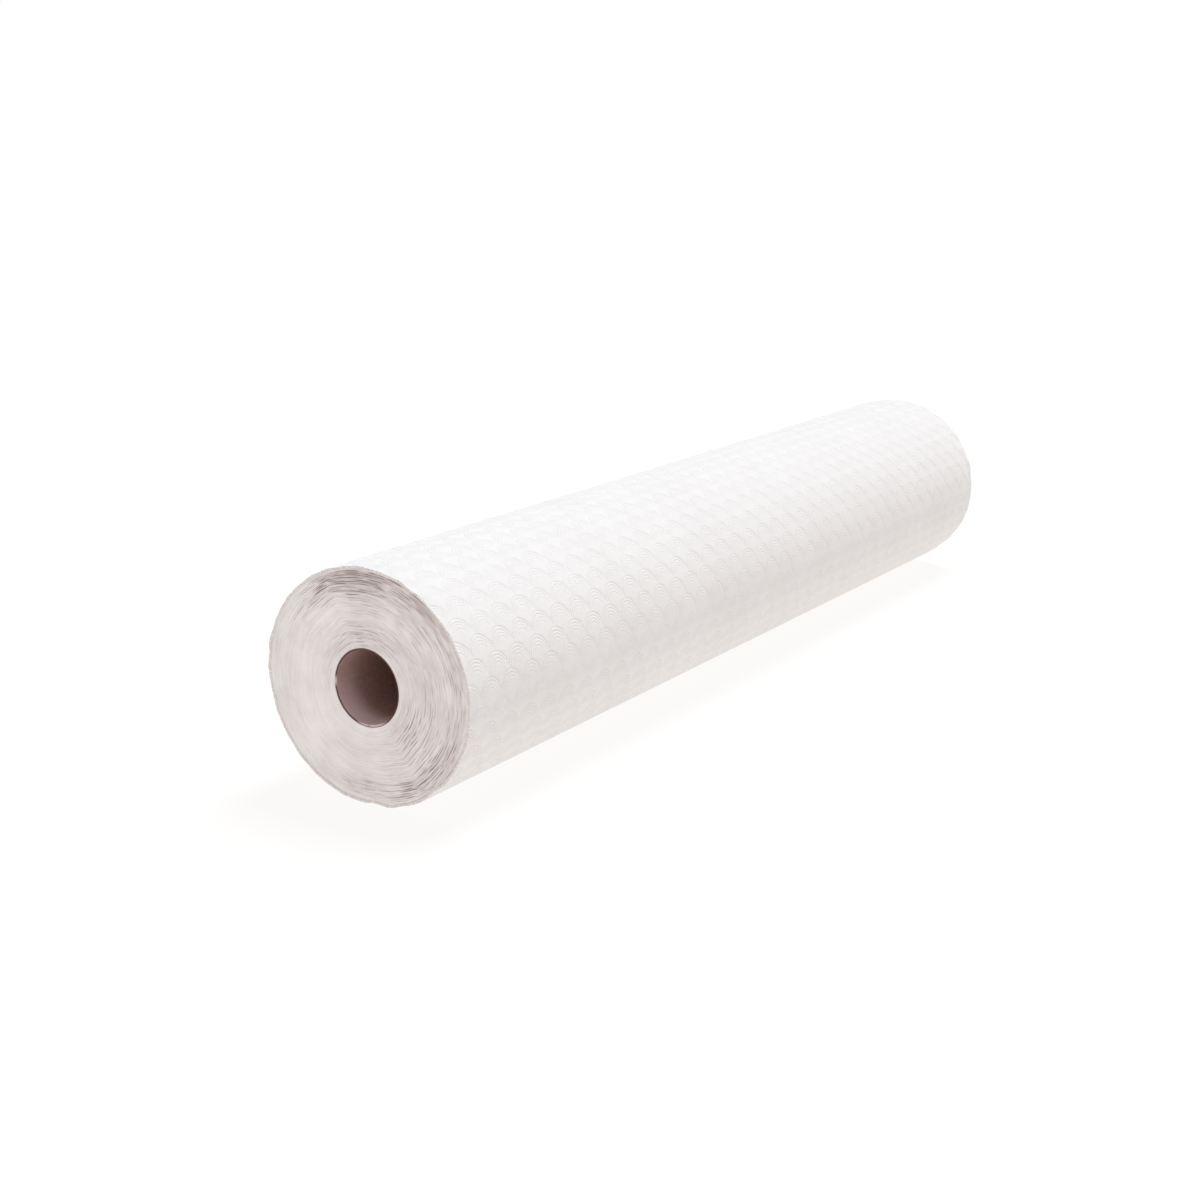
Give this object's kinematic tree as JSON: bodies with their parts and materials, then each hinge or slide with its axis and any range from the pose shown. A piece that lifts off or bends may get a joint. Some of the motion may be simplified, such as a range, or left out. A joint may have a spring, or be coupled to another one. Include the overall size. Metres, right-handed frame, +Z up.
{
  "type": "paper tablecloth roll",
  "caption": "Wide roll of embossed white paper tablecloth web wound on a thin cardboard core, lying on its side.",
  "frame": {"origin": "middle of the small flat that the roll rests on, at half its length", "axes": "+X along the roll, +Z up, +Y to the side where the loose end of the web lies"},
  "size_m": [1, 0.2, 0.1916],
  "materials": {
    "paper": "matt embossed tissue, faintly warm white",
    "core_board": "plain brown wound board, matt"
  },
  "bodies": {
    "root": {"paper_roll": "paper", "core_tube": "core_board"}
  },
  "joints": []
}
